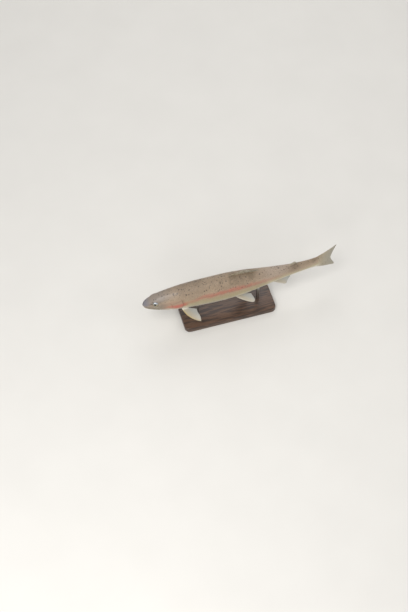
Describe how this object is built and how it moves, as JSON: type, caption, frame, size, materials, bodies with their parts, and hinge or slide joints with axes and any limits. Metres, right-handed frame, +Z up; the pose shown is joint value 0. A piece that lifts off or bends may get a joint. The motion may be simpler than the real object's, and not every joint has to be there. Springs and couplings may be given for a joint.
{
  "type": "rainbow trout model",
  "caption": "Life-size still model of a swimming rainbow trout with its tail turned, held by rods on a flat base.",
  "frame": {"origin": "middle of the stand base's flat underside", "axes": "+X from the fish's head to its tail, -Y the fish's left side, +Z up"},
  "size_m": [0.4457, 0.0966, 0.1378],
  "materials": {
    "skin": "satin, wet-looking scaled skin",
    "fin": "satin, ribbed with fin rays",
    "eye": "high gloss",
    "stand_base": "dark stain, satin",
    "stand_rod": "brushed"
  },
  "bodies": {
    "root": {"head": "skin", "lower_jaw": "skin", "gill_cover_left": "skin", "gill_cover_right": "skin", "trunk": "skin", "tail_stalk": "skin", "dorsal_fin": "fin", "adipose_fin": "fin", "anal_fin": "fin", "caudal_fin": "fin", "pectoral_fin_left": "fin", "pectoral_fin_right": "fin", "pelvic_fin_left": "fin", "pelvic_fin_right": "fin", "eye_left": "eye", "eye_right": "eye", "stand_base": "stand_base", "stand_rod_front": "stand_rod", "stand_rod_rear": "stand_rod"}
  },
  "joints": []
}
